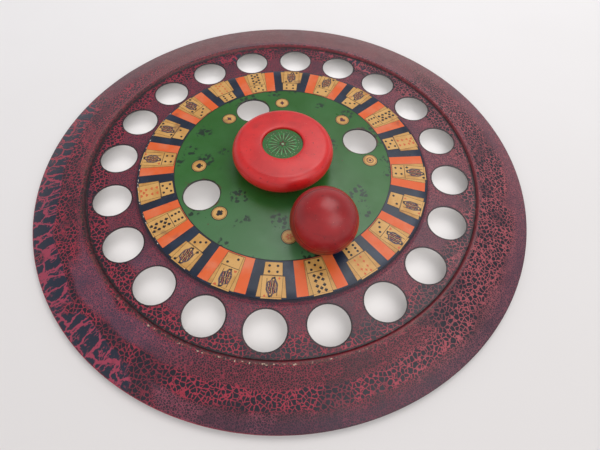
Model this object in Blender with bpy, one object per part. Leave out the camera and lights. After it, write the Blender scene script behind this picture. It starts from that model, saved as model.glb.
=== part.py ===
"""Card and domino roulette wheel.

A pressed sheet-steel pan with twenty outer and four inner ball holes turns on a spindle, which stands on
a small wooden foot. A red wooden knob covers the spindle's nut, and one loose ball sits in an inner hole.
Metres, +Z up. The origin is on the spindle's axis, on the surface that the foot stands on.
"""

import math

import bmesh
import bpy
from mathutils import Matrix, Vector

GAP = 0.0003  # room between faces that touch
SHARP_ANGLE = math.radians(35)

# Wheel pan: radii from the spindle's axis, heights of its top side above the table
SHEET = 0.0012
OUTER_RADIUS = 0.2286
EDGE_TOP = 0.0054
RIDGE_RADIUS = 0.1826
RIDGE_HALF_WIDTH = 0.0032
RIDGE_RISE = 0.0025
RING_TOP = 0.0150
SHOULDER_FOOT_RADIUS = 0.1374
SHOULDER_TOP_RADIUS = 0.1344
SEAT_RADIUS = 0.0500
PAN_SEGMENTS = 84

# Ball holes
OUTER_HOLES = 20
OUTER_HOLE_CIRCLE = 0.1570
OUTER_HOLE_RADIUS = 0.0169
INNER_HOLES = 4
INNER_HOLE_CIRCLE = 0.0800
INNER_HOLE_RADIUS = 0.0163
INNER_HOLE_START = math.radians(28.3)
INNER_HOLE_CENTRE = Vector((0.0013, -0.0025, 0.0))  # the four inner holes are punched a little off centre
HOLE_SEGMENTS = 28
SCREW_HOLE_SEGMENTS = 12

# Printed face on the pan's raised middle
PRINT_THICKNESS = 0.0005
PRINT_RADIUS = 0.1338
PRINT_EDGE_TOP = 0.0191
PRINT_SEAT_TOP = 0.0232
PRINT_BORE = 0.0095

# Foot, felt pad and spindle, which stay still
PAD_RADIUS = 0.0465
PAD_TOP = 0.0020
FOOT_RADIUS = 0.0490
FOOT_TOP = 0.0118
FLANGE_RADIUS = 0.0180
FLANGE_TOP = 0.0141
SPINDLE_RADIUS = 0.0040
SPINDLE_BOTTOM = 0.0050
SPINDLE_TOP = 0.0340
SPINDLE_SEGMENTS = 32
WASHER_RADIUS = 0.0090
THRUST_WASHER_TOP = 0.0158
TOP_WASHER_THICKNESS = 0.0012
NUT_ACROSS_FLATS = 0.0130
NUT_HEIGHT = 0.0060
FLANGE_SCREWS = 4
FLANGE_SCREW_CIRCLE = 0.0135
FLANGE_SCREW_RADIUS = 0.0013
FLANGE_SCREW_LENGTH = 0.0090

# Hub, which turns with the pan
BUSH_BORE = 0.0041
BUSH_SLEEVE_RADIUS = 0.0065
BUSH_FLANGE_RADIUS = 0.0105
BUSH_FLANGE_THICKNESS = 0.0015
BUSH_TOP = 0.0246
HUB_PLATE_RADIUS = 0.0360

# Knob and label
KNOB_FOOT_RADIUS = 0.0300
KNOB_WAIST_TOP = 0.0315
KNOB_LOWER_RADIUS = 0.0370
KNOB_RADIUS = 0.0450
KNOB_WIDEST = 0.0410
KNOB_FLAT_RADIUS = 0.0365
KNOB_TOP = 0.0518
KNOB_HOLLOW_RADIUS = 0.0130
KNOB_HOLLOW_TOP = 0.0370
LABEL_RADIUS = 0.0178
LABEL_TOP = 0.0496
LABEL_THICKNESS = 0.0007
KNOB_SCREWS = 3
KNOB_SCREW_CIRCLE = 0.0220
KNOB_SCREW_RADIUS = 0.0018
KNOB_SCREW_LENGTH = 0.0180

# Loose ball
BALL_RADIUS = 0.0278
BALL_HOLE = 3
BALL_CLEARANCE = 0.0005


def clear_scene():
    for old in list(bpy.data.objects):
        bpy.data.objects.remove(old, do_unlink=True)


def make_material(name, colour, roughness, metallic=0.0):
    material = bpy.data.materials.new(name)
    material.use_nodes = True
    shader = material.node_tree.nodes["Principled BSDF"]
    shader.inputs["Base Color"].default_value = (*colour, 1.0)
    shader.inputs["Roughness"].default_value = roughness
    shader.inputs["Metallic"].default_value = metallic
    return material


def make_empty(name, location):
    empty = bpy.data.objects.new(name, None)
    empty.location = location
    bpy.context.collection.objects.link(empty)
    return empty


def make_object(name, bm, material, parent, place=(0.0, 0.0, 0.0)):
    """Turns a bmesh, drawn about its own origin, into a smooth-shaded object at a world place."""
    bmesh.ops.recalc_face_normals(bm, faces=bm.faces)
    mesh = bpy.data.meshes.new(name)
    bm.to_mesh(mesh)
    bm.free()
    mesh.materials.append(material)
    mesh.shade_smooth()
    mesh.set_sharp_from_angle(angle=SHARP_ANGLE)
    made = bpy.data.objects.new(name, mesh)
    bpy.context.collection.objects.link(made)
    made.parent = parent
    made.location = Vector(place) - parent.location
    return made


def turned(outline, segments):
    """Spins a closed (radius, height) outline about Z. Points at radius zero become poles."""
    bm = bmesh.new()
    rings = []
    for radius, height in outline:
        if radius == 0.0:
            rings.append([bm.verts.new((0.0, 0.0, height))] * segments)
            continue
        ring = []
        for step in range(segments):
            angle = math.tau * step / segments
            ring.append(bm.verts.new((radius * math.cos(angle), radius * math.sin(angle), height)))
        rings.append(ring)
    for inner, outer in zip(rings, rings[1:] + rings[:1]):
        for step in range(segments):
            after = (step + 1) % segments
            corners = [inner[step], outer[step], outer[after], inner[after]]
            corners = list(dict.fromkeys(corners))
            if len(corners) > 2:
                bm.faces.new(corners)
    return bm


def disc_outline(radius, bottom, top, bore=0.0, chamfer=0.0):
    """Outline of a washer or a solid disc, with its two outer corners chamfered."""
    outline = [(bore, bottom)]
    if chamfer:
        outline += [(radius - chamfer, bottom), (radius, bottom + chamfer)]
        outline += [(radius, top - chamfer), (radius - chamfer, top)]
    else:
        outline += [(radius, bottom), (radius, top)]
    outline.append((bore, top))
    return outline


def quarter(centre, radii, start, steps):
    """Points along a quarter ellipse, counter-clockwise from a start angle in degrees."""
    points = []
    for step in range(steps + 1):
        angle = math.radians(start + 90.0 * step / steps)
        points.append((centre[0] + radii[0] * math.cos(angle), centre[1] + radii[1] * math.sin(angle)))
    return points


def on_circle(radius, angle, height=0.0):
    return Vector((radius * math.cos(angle), radius * math.sin(angle), height))


def round_holes(places, radius, segments):
    """One (place, radius, segments) entry for each hole of a kind."""
    return [(place, radius, segments) for place in places]


def cut_holes(target, holes, bottom, top):
    """Cuts all of a piece's upright round holes with one hidden cutter."""
    bm = bmesh.new()
    for place, radius, segments in holes:
        centre = Vector((place.x, place.y, (bottom + top) / 2))
        bmesh.ops.create_cone(
            bm,
            cap_ends=True,
            segments=segments,
            radius1=radius,
            radius2=radius,
            depth=top - bottom,
            matrix=Matrix.Translation(centre),
        )
    mesh = bpy.data.meshes.new(target.name + "_hole_cutter")
    bm.to_mesh(mesh)
    bm.free()
    cutter = bpy.data.objects.new(mesh.name, mesh)
    bpy.context.collection.objects.link(cutter)
    cutter.parent = target.parent
    cutter.location = -target.parent.location
    cut_by(target, cutter)


def cut_by(target, cutter):
    cutter.hide_render = True
    cutter.display_type = "WIRE"
    boolean = target.modifiers.new(cutter.name, "BOOLEAN")
    boolean.operation = "DIFFERENCE"
    boolean.solver = "EXACT"
    boolean.object = cutter


def print_top(radius):
    """Height of the printed face's top side: a flat seat, then a shallow cone."""
    if radius <= SEAT_RADIUS:
        return PRINT_SEAT_TOP
    share = (radius - SEAT_RADIUS) / (PRINT_RADIUS - SEAT_RADIUS)
    return PRINT_SEAT_TOP + share * (PRINT_EDGE_TOP - PRINT_SEAT_TOP)


def pan_middle_top(radius):
    return print_top(radius) - PRINT_THICKNESS - GAP


def outer_hole_places():
    return [on_circle(OUTER_HOLE_CIRCLE, math.tau * k / OUTER_HOLES) for k in range(OUTER_HOLES)]


def inner_hole_places():
    places = []
    for k in range(INNER_HOLES):
        angle = INNER_HOLE_START + math.tau * k / INNER_HOLES
        places.append(INNER_HOLE_CENTRE + on_circle(INNER_HOLE_CIRCLE, angle))
    return places


def knob_screw_places():
    return [on_circle(KNOB_SCREW_CIRCLE, math.tau * k / KNOB_SCREWS) for k in range(KNOB_SCREWS)]


def flange_screw_places():
    return [on_circle(FLANGE_SCREW_CIRCLE, math.tau * (k + 0.5) / FLANGE_SCREWS) for k in range(FLANGE_SCREWS)]


def make_wheel_pan(parent):
    bore = BUSH_SLEEVE_RADIUS + GAP
    top = [
        (bore, pan_middle_top(bore)),
        (SEAT_RADIUS, pan_middle_top(SEAT_RADIUS)),
        (SHOULDER_TOP_RADIUS, pan_middle_top(SHOULDER_TOP_RADIUS)),
        (SHOULDER_FOOT_RADIUS, RING_TOP),
        (RIDGE_RADIUS - RIDGE_HALF_WIDTH, RING_TOP),
        (RIDGE_RADIUS - RIDGE_HALF_WIDTH / 3, RING_TOP + RIDGE_RISE * 0.85),
        (RIDGE_RADIUS, RING_TOP + RIDGE_RISE),
        (RIDGE_RADIUS + RIDGE_HALF_WIDTH / 2, RING_TOP + RIDGE_RISE * 0.8),
        (OUTER_RADIUS, EDGE_TOP),
    ]
    underside = [(radius, height - SHEET) for radius, height in reversed(top)]
    paint = make_material("crackle_paint", (0.20, 0.05, 0.08), 0.45)
    pan = make_object("wheel_pan", turned(top + underside, PAN_SEGMENTS), paint, parent)
    low = RING_TOP - 4 * SHEET
    high = pan_middle_top(0.0) + SHEET
    holes = round_holes(outer_hole_places(), OUTER_HOLE_RADIUS, HOLE_SEGMENTS)
    holes += round_holes(inner_hole_places(), INNER_HOLE_RADIUS, HOLE_SEGMENTS)
    holes += knob_screw_holes()
    cut_holes(pan, holes, low, high)
    return pan


def knob_screw_holes():
    return round_holes(knob_screw_places(), KNOB_SCREW_RADIUS + GAP, SCREW_HOLE_SEGMENTS)


def flange_screw_holes():
    return round_holes(flange_screw_places(), FLANGE_SCREW_RADIUS + GAP, SCREW_HOLE_SEGMENTS)


def make_printed_face(parent):
    top = [
        (PRINT_BORE, print_top(PRINT_BORE)),
        (SEAT_RADIUS, print_top(SEAT_RADIUS)),
        (PRINT_RADIUS, print_top(PRINT_RADIUS)),
    ]
    underside = [(radius, height - PRINT_THICKNESS) for radius, height in reversed(top)]
    ink = make_material("printed_green", (0.07, 0.22, 0.06), 0.5)
    face = make_object("printed_face", turned(top + underside, PAN_SEGMENTS), ink, parent)
    low = PRINT_EDGE_TOP - 4 * SHEET
    high = PRINT_SEAT_TOP + SHEET
    holes = round_holes(inner_hole_places(), INNER_HOLE_RADIUS, HOLE_SEGMENTS) + knob_screw_holes()
    cut_holes(face, holes, low, high)
    return face


def make_base_pad(parent):
    felt = make_material("felt", (0.05, 0.12, 0.06), 0.95)
    return make_object("base_pad", turned(disc_outline(PAD_RADIUS, 0.0, PAD_TOP), 48), felt, parent)


def make_base_foot(parent):
    bottom = PAD_TOP + GAP
    cove = FOOT_RADIUS * 0.12
    edge_top = bottom + (FOOT_TOP - bottom) * 0.55
    bore = SPINDLE_RADIUS + GAP
    bore_bottom = SPINDLE_BOTTOM - GAP
    outline = [(0.0, bottom), (FOOT_RADIUS, bottom), (FOOT_RADIUS, edge_top)]
    outline += [(FOOT_RADIUS - 0.4 * cove, edge_top + 0.6 * (FOOT_TOP - edge_top)), (FOOT_RADIUS - cove, FOOT_TOP)]
    outline += [(bore, FOOT_TOP), (bore, bore_bottom), (0.0, bore_bottom)]
    wood = make_material("foot_wood", (0.16, 0.08, 0.04), 0.5)
    foot = make_object("base_foot", turned(outline, 48), wood, parent)
    pilot_bottom = FLANGE_TOP + GAP - FLANGE_SCREW_LENGTH - GAP
    cut_holes(foot, flange_screw_holes(), pilot_bottom, FOOT_TOP + SHEET)
    return foot


def make_spindle_flange(parent):
    steel = make_material("flange_steel", (0.42, 0.42, 0.43), 0.35, 1.0)
    bottom = FOOT_TOP + GAP
    outline = disc_outline(FLANGE_RADIUS, bottom, FLANGE_TOP, SPINDLE_RADIUS + GAP, GAP)
    flange = make_object("spindle_flange", turned(outline, 40), steel, parent)
    cut_holes(flange, flange_screw_holes(), FOOT_TOP, FLANGE_TOP + SHEET)
    return flange


def make_spindle(parent):
    steel = make_material("spindle_steel", (0.55, 0.55, 0.56), 0.25, 1.0)
    outline = disc_outline(SPINDLE_RADIUS, SPINDLE_BOTTOM, SPINDLE_TOP, 0.0, SPINDLE_RADIUS / 6)
    return make_object("spindle", turned(outline, SPINDLE_SEGMENTS), steel, parent)


def screw_outline(shank_radius, head_radius, head_height, length):
    """Outline of a screw whose head bears on height zero, with the shank pointing down to a blunt tip."""
    tip = shank_radius * 0.4
    outline = [(0.0, -length), (tip, -length), (shank_radius, -length + 2 * shank_radius)]
    outline += [(shank_radius, 0.0), (head_radius, 0.0), (head_radius, head_height * 0.45)]
    outline += [(head_radius * 0.7, head_height * 0.85), (0.0, head_height)]
    return outline


def slotted(screw, head_radius, head_height, facing):
    """Cuts the driver slot across a screw's head."""
    bm = bmesh.new()
    size = Matrix.Diagonal((3 * head_radius, head_radius * 0.28, head_height, 1.0))
    bmesh.ops.create_cube(bm, size=1.0, matrix=Matrix.Translation((0, 0, head_height * 1.1)) @ size)
    mesh = bpy.data.meshes.new(screw.name + "_slot_cutter")
    bm.to_mesh(mesh)
    bm.free()
    cutter = bpy.data.objects.new(mesh.name, mesh)
    bpy.context.collection.objects.link(cutter)
    cutter.parent = screw
    cut_by(screw, cutter)
    screw.rotation_euler = facing


def make_flange_screws(parent):
    steel = make_material("screw_steel", (0.50, 0.48, 0.44), 0.35, 1.0)
    head_radius = FLANGE_SCREW_RADIUS * 2.1
    head_height = FLANGE_SCREW_RADIUS * 1.2
    outline = screw_outline(FLANGE_SCREW_RADIUS, head_radius, head_height, FLANGE_SCREW_LENGTH)
    for number, place in enumerate(flange_screw_places(), start=1):
        place.z = FLANGE_TOP + GAP
        screw = make_object(f"flange_screw_{number}", turned(outline, 16), steel, parent, place)
        slotted(screw, head_radius, head_height, (0.0, 0.0, number * 0.9))


def make_washers(parent):
    brass = make_material("washer_brass", (0.72, 0.50, 0.20), 0.35, 1.0)
    bore = SPINDLE_RADIUS + GAP
    thrust = disc_outline(WASHER_RADIUS, FLANGE_TOP + GAP, THRUST_WASHER_TOP, bore)
    make_object("thrust_washer", turned(thrust, 32), brass, parent)
    bottom = BUSH_TOP + GAP
    top = disc_outline(WASHER_RADIUS, bottom, bottom + TOP_WASHER_THICKNESS, bore)
    make_object("top_washer", turned(top, 32), brass, parent)


def make_spindle_nut(parent):
    steel = make_material("nut_steel", (0.48, 0.48, 0.50), 0.4, 1.0)
    bottom = BUSH_TOP + TOP_WASHER_THICKNESS + 2 * GAP
    corner = NUT_ACROSS_FLATS / math.sqrt(3)
    bm = bmesh.new()
    centre = Vector((0.0, 0.0, bottom + NUT_HEIGHT / 2))
    bmesh.ops.create_cone(
        bm,
        cap_ends=True,
        segments=6,
        radius1=corner,
        radius2=corner,
        depth=NUT_HEIGHT,
        matrix=Matrix.Translation(centre),
    )
    nut = make_object("spindle_nut", bm, steel, parent)
    bore = round_holes([Vector((0.0, 0.0, 0.0))], SPINDLE_RADIUS + GAP, SPINDLE_SEGMENTS)
    cut_holes(nut, bore, bottom - SHEET, bottom + 2 * NUT_HEIGHT)
    return nut


def make_hub_bush(parent):
    brass = make_material("bush_brass", (0.68, 0.46, 0.18), 0.35, 1.0)
    bottom = THRUST_WASHER_TOP + GAP
    flange_top = bottom + BUSH_FLANGE_THICKNESS
    outline = [(BUSH_BORE, bottom), (BUSH_FLANGE_RADIUS, bottom), (BUSH_FLANGE_RADIUS, flange_top)]
    outline += [(BUSH_SLEEVE_RADIUS, flange_top), (BUSH_SLEEVE_RADIUS, BUSH_TOP), (BUSH_BORE, BUSH_TOP)]
    return make_object("hub_bush", turned(outline, 32), brass, parent)


def hub_plate_bottom():
    return THRUST_WASHER_TOP + BUSH_FLANGE_THICKNESS + 2 * GAP


def make_hub_plate(parent):
    steel = make_material("hub_steel", (0.30, 0.30, 0.32), 0.45, 1.0)
    bottom = hub_plate_bottom()
    top = pan_middle_top(0.0) - SHEET - GAP
    outline = disc_outline(HUB_PLATE_RADIUS, bottom, top, BUSH_SLEEVE_RADIUS + GAP, GAP)
    plate = make_object("hub_plate", turned(outline, 48), steel, parent)
    cut_holes(plate, knob_screw_holes(), bottom - SHEET, top + SHEET)
    return plate


def make_knob_screws(parent):
    steel = make_material("knob_screw_steel", (0.50, 0.48, 0.44), 0.35, 1.0)
    head_radius = KNOB_SCREW_RADIUS * 1.8
    head_height = KNOB_SCREW_RADIUS
    outline = screw_outline(KNOB_SCREW_RADIUS, head_radius, head_height, KNOB_SCREW_LENGTH)
    for number, place in enumerate(knob_screw_places(), start=1):
        place.z = hub_plate_bottom() - GAP
        screw = make_object(f"knob_screw_{number}", turned(outline, 16), steel, parent, place)
        slotted(screw, head_radius, head_height, (math.pi, 0.0, number * 1.1))


def make_knob(parent):
    foot = PRINT_SEAT_TOP + GAP
    outline = [(KNOB_HOLLOW_RADIUS, foot), (KNOB_FOOT_RADIUS, foot), (KNOB_FOOT_RADIUS, foot + 0.0025)]
    outline.append((KNOB_FOOT_RADIUS + 0.0018, KNOB_WAIST_TOP))
    under = (KNOB_RADIUS - KNOB_LOWER_RADIUS, KNOB_WIDEST - KNOB_WAIST_TOP - 0.002)
    outline += quarter((KNOB_LOWER_RADIUS, KNOB_WIDEST), under, -90.0, 5)
    over = (KNOB_RADIUS - KNOB_FLAT_RADIUS, KNOB_TOP - KNOB_WIDEST - GAP)
    outline += quarter((KNOB_FLAT_RADIUS, KNOB_WIDEST), over, 0.0, 7)[1:]
    recess_radius = LABEL_RADIUS + GAP
    recess_floor = LABEL_TOP - LABEL_THICKNESS - GAP
    outline += [(recess_radius + 0.001, KNOB_TOP), (recess_radius, KNOB_TOP - 0.0006)]
    outline += [(recess_radius, recess_floor), (0.0, recess_floor)]
    outline += [(0.0, KNOB_HOLLOW_TOP), (KNOB_HOLLOW_RADIUS, KNOB_HOLLOW_TOP)]
    lacquer = make_material("red_lacquer", (0.55, 0.03, 0.04), 0.35)
    knob = make_object("knob", turned(outline, 56), lacquer, parent)
    pilot_top = hub_plate_bottom() - GAP + KNOB_SCREW_LENGTH + GAP
    cut_holes(knob, knob_screw_holes(), foot - SHEET, pilot_top)
    return knob


def make_knob_label(parent):
    green = make_material("label_green", (0.05, 0.28, 0.10), 0.45)
    outline = disc_outline(LABEL_RADIUS, LABEL_TOP - LABEL_THICKNESS, LABEL_TOP)
    return make_object("knob_label", turned(outline, 40), green, parent)


def ball_centre():
    """The ball touches the whole rim of its hole, so it stands square to the cone there."""
    hole = inner_hole_places()[BALL_HOLE]
    outward = hole.normalized()
    slope = (PRINT_SEAT_TOP - PRINT_EDGE_TOP) / (PRINT_RADIUS - SEAT_RADIUS)
    normal = (Vector((0, 0, 1)) + slope * outward).normalized()
    rim_centre = Vector((hole.x, hole.y, print_top(hole.length)))
    lift = math.sqrt(BALL_RADIUS**2 - INNER_HOLE_RADIUS**2)
    return rim_centre + (lift + BALL_CLEARANCE) * normal


def make_game_ball(parent):
    lacquer = make_material("ball_lacquer", (0.32, 0.02, 0.03), 0.35)
    bm = bmesh.new()
    bmesh.ops.create_uvsphere(bm, u_segments=32, v_segments=18, radius=BALL_RADIUS)
    return make_object("game_ball", bm, lacquer, parent, ball_centre())


def main():
    clear_scene()
    base = make_empty("base_axis", (0.0, 0.0, 0.0))
    make_base_pad(base)
    make_base_foot(base)
    make_spindle_flange(base)
    make_spindle(base)
    make_flange_screws(base)
    make_washers(base)
    make_spindle_nut(base)
    wheel = make_empty("wheel_axis", (0.0, 0.0, 0.0))
    make_wheel_pan(wheel)
    make_printed_face(wheel)
    make_hub_plate(wheel)
    make_hub_bush(wheel)
    make_knob_screws(wheel)
    make_knob(wheel)
    make_knob_label(wheel)
    seat = make_empty("ball_seat", ball_centre())
    make_game_ball(seat)


main()
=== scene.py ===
"""Looks for the card and domino roulette wheel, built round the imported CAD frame."""

import math
import random

import bmesh
import bpy
from mathutils import Matrix, Vector


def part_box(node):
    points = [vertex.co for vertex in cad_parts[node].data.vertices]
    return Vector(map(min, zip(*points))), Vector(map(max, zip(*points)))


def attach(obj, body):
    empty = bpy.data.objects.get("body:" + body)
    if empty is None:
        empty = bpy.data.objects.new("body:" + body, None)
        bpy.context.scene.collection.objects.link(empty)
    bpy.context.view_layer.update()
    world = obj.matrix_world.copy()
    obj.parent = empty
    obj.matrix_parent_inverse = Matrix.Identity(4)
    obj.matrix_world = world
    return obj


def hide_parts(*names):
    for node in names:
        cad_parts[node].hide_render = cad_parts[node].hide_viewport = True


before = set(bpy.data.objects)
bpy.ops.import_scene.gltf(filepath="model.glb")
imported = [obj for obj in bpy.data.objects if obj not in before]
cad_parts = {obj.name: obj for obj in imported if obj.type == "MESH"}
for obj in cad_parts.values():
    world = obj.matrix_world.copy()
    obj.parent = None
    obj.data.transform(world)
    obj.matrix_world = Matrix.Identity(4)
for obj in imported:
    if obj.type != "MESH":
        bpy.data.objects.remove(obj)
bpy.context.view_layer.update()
MM = 0.001

# Wheel, in metres, as the CAD frame has it
WHEEL_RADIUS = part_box("wheel_pan")[1].x
PRINT_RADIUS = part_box("printed_face")[1].x
PRINT_SEAT_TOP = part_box("printed_face")[1].z
KNOB_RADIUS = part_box("knob")[1].x
KNOB_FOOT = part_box("knob")[0].z
KNOB_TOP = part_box("knob")[1].z
LABEL_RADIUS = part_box("knob_label")[1].x
LABEL_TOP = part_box("knob_label")[1].z
LABEL_BEVEL = 0.12 * MM
BALL_LOW, BALL_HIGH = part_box("game_ball")
BALL_CENTRE = (BALL_LOW + BALL_HIGH) / 2
BALL_RADIUS = (BALL_HIGH.z - BALL_LOW.z) / 2

SHEET = 1.2 * MM
RING_TOP = 15.0 * MM
EDGE_TOP = 5.4 * MM
RIDGE_RADIUS = 182.6 * MM
RIDGE_TOP = 17.5 * MM
SHOULDER_FOOT = 137.4 * MM
SHOULDER_TOP = 134.4 * MM
SEAT_RADIUS = 50.0 * MM
PRINT_EDGE_TOP = 19.1 * MM
PRINT_THICKNESS = 0.5 * MM
PAN_UNDER_PRINT = 0.8 * MM
PAN_BORE = 6.8 * MM
PRINT_BORE = 9.5 * MM
RING_STEPS = 240

OUTER_HOLES = 20
OUTER_HOLE_CIRCLE = 157.0 * MM
OUTER_HOLE_RADIUS = 16.9 * MM
INNER_HOLES = 4
INNER_HOLE_CIRCLE = 80.0 * MM
INNER_HOLE_RADIUS = 16.3 * MM
INNER_HOLE_START = math.radians(28.3)
INNER_HOLE_CENTRE = Vector((1.3 * MM, -2.5 * MM))
BAND_IN = 50.8 * MM
BAND_OUT = 104.0 * MM

# Print on the raised middle
GREEN_RADIUS = 100.5 * MM
SECTORS = 20
SECTOR_TURN = math.radians(0.9)
INK_STEP = 0.03 * MM


def srgb(red, green, blue):
    """Linear colour from 0-255 display values."""
    def linear(value):
        share = value / 255
        return share / 12.92 if share <= 0.04045 else ((share + 0.055) / 1.055) ** 2.4
    return (linear(red), linear(green), linear(blue), 1.0)


def darker(colour, share):
    return tuple(value * share for value in colour)


# ---------------- material graphs


NOISE_ROUGHNESS = 0.55


class Graph:
    """The node tree of a new material or world, with short calls for the nodes used here."""

    def __init__(self, name, kind=bpy.data.materials):
        self.owner = kind.new(name)
        self.owner.use_nodes = True
        self.tree = self.owner.node_tree
        self.coordinates = self.node("TexCoord").outputs
        self.place = self.coordinates["Object"]

    def node(self, kind):
        return self.tree.nodes.new("ShaderNode" + kind)

    def put(self, socket, value):
        if isinstance(value, bpy.types.NodeSocket):
            self.tree.links.new(value, socket)
        else:
            socket.default_value = value

    def math(self, operation, first, second=0.0):
        node = self.node("Math")
        node.operation = operation
        self.put(node.inputs[0], first)
        self.put(node.inputs[1], second)
        return node.outputs[0]

    def times(self, first, second):
        return self.math("MULTIPLY", first, second)

    def plus(self, first, second):
        return self.math("ADD", first, second)

    def minus(self, first, second):
        return self.math("SUBTRACT", first, second)

    def inverse(self, value):
        return self.math("SUBTRACT", 1.0, value)

    def most(self, first, second):
        return self.math("MAXIMUM", first, second)

    def vector(self, operation, first, second):
        node = self.node("VectorMath")
        node.operation = operation
        self.put(node.inputs[0], first)
        if operation == "SCALE":
            self.put(node.inputs["Scale"], second)
        else:
            self.put(node.inputs[1], second)
        return node.outputs["Value" if operation in ("DOT_PRODUCT", "LENGTH") else "Vector"]

    def noise(self, scale, detail=3.0, where=None, output="Fac"):
        node = self.node("TexNoise")
        self.put(node.inputs["Vector"], where or self.place)
        node.inputs["Scale"].default_value = scale
        node.inputs["Detail"].default_value = detail
        node.inputs["Roughness"].default_value = NOISE_ROUGHNESS
        return node.outputs[output]

    def cells(self, scale, where=None, feature="DISTANCE_TO_EDGE"):
        node = self.node("TexVoronoi")
        node.feature = feature
        self.put(node.inputs["Vector"], where or self.place)
        node.inputs["Scale"].default_value = scale
        return node.outputs["Distance"]

    def step(self, value, low, high):
        """Smoothly 0 at low and 1 at high."""
        node = self.node("MapRange")
        node.interpolation_type = "SMOOTHSTEP"
        self.put(node.inputs["Value"], value)
        self.put(node.inputs["From Min"], low)
        self.put(node.inputs["From Max"], high)
        return node.outputs["Result"]

    def cloud(self, scale, detail, low, high):
        """Noise, sharpened into patches."""
        return self.step(self.noise(scale, detail), low, high)

    def side(self, degrees, low, high):
        """Smoothly 1 on the side of the wheel that lies towards a compass angle."""
        return self.step(self.towards(degrees), low, high)

    def mix(self, share, first, second):
        """A blend of two colours. Each is a socket or three display values."""
        node = self.node("Mix")
        node.data_type = "RGBA"
        self.put(node.inputs[0], share)
        for socket, colour in ((node.inputs[6], first), (node.inputs[7], second)):
            self.put(socket, srgb(*colour) if isinstance(colour, tuple) else colour)
        return node.outputs[2]

    def blend(self, share, first, second):
        """A blend of two numbers."""
        return self.plus(self.times(first, self.inverse(share)), self.times(second, share))

    def over(self, colour, where, share, second):
        """The colour with a share of a second one laid over it in some places."""
        return self.mix(self.times(where, share), colour, second)

    def push(self, scale, amount):
        """A small shift in all directions, by noise."""
        return self.vector("SCALE", self.noise(scale, 2, output="Color"), amount)

    def warp(self, scale, amount):
        """The place, pushed about by noise."""
        push = self.vector("SUBTRACT", self.noise(scale, output="Color"), (0.5, 0.5, 0.5))
        return self.vector("ADD", self.place, self.vector("SCALE", push, amount))

    def stretched(self, where, by):
        return self.vector("MULTIPLY", where, by)

    def radius(self, where=None):
        flat = self.stretched(where or self.place, (1.0, 1.0, 0.0))
        return self.vector("LENGTH", flat, (0, 0, 0))

    def band(self, value, middle, half, soft):
        """1 inside a band about a middle value, 0 outside it."""
        return self.step(self.math("ABSOLUTE", self.minus(value, middle)), half + soft, half)

    def off_hole(self, holes, circle, hole, start=0.0, centre=(0.0, 0.0)):
        """Distance outside the edge of the nearest ball hole of one circle of holes."""
        own = self.vector("SUBTRACT", self.place, (centre[0], centre[1], 0.0))
        parts = self.node("SeparateXYZ")
        self.put(parts.inputs[0], own)
        reach = self.radius(own)
        turn = self.minus(self.math("ARCTAN2", parts.outputs[1], parts.outputs[0]), start)
        turn = self.times(turn, holes / math.tau)
        fold = self.times(self.minus(turn, self.math("ROUND", turn)), math.tau / holes)
        across = self.minus(self.times(reach, self.math("COSINE", fold)), circle)
        along = self.times(reach, self.math("SINE", fold))
        squares = self.plus(self.times(across, across), self.times(along, along))
        return self.minus(self.math("SQRT", squares), hole)

    def unrolled(self, degrees, squeeze):
        """The place as arc length and squeezed radius. The seam lies opposite the compass angle."""
        turn = self.math("ARCTAN2", self.towards(degrees + 90), self.towards(degrees))
        node = self.node("CombineXYZ")
        self.put(node.inputs[0], self.times(turn, WHEEL_RADIUS))
        self.put(node.inputs[1], self.times(self.radius(), squeeze))
        return node.outputs[0]

    def towards(self, degrees):
        """How far a place lies towards a compass angle, in metres."""
        angle = math.radians(degrees)
        return self.vector("DOT_PRODUCT", self.place, (math.cos(angle), math.sin(angle), 0.0))

    def bump(self, height, distance, strength=1.0, under=None):
        node = self.node("Bump")
        node.inputs["Strength"].default_value = strength
        node.inputs["Distance"].default_value = distance
        self.put(node.inputs["Height"], height)
        if under is not None:
            self.put(node.inputs["Normal"], under)
        return node.outputs["Normal"]

    def finish(self, colour, rough, normal, **fixed):
        """The material, with its shader fed. Other inputs of the shader are constants."""
        inputs = self.tree.nodes["Principled BSDF"].inputs
        self.put(inputs["Base Color"], colour)
        self.put(inputs["Roughness"], rough)
        self.put(inputs["Normal"], normal)
        for name, value in fixed.items():
            inputs[name.replace("_", " ")].default_value = value
        return self.owner


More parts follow.
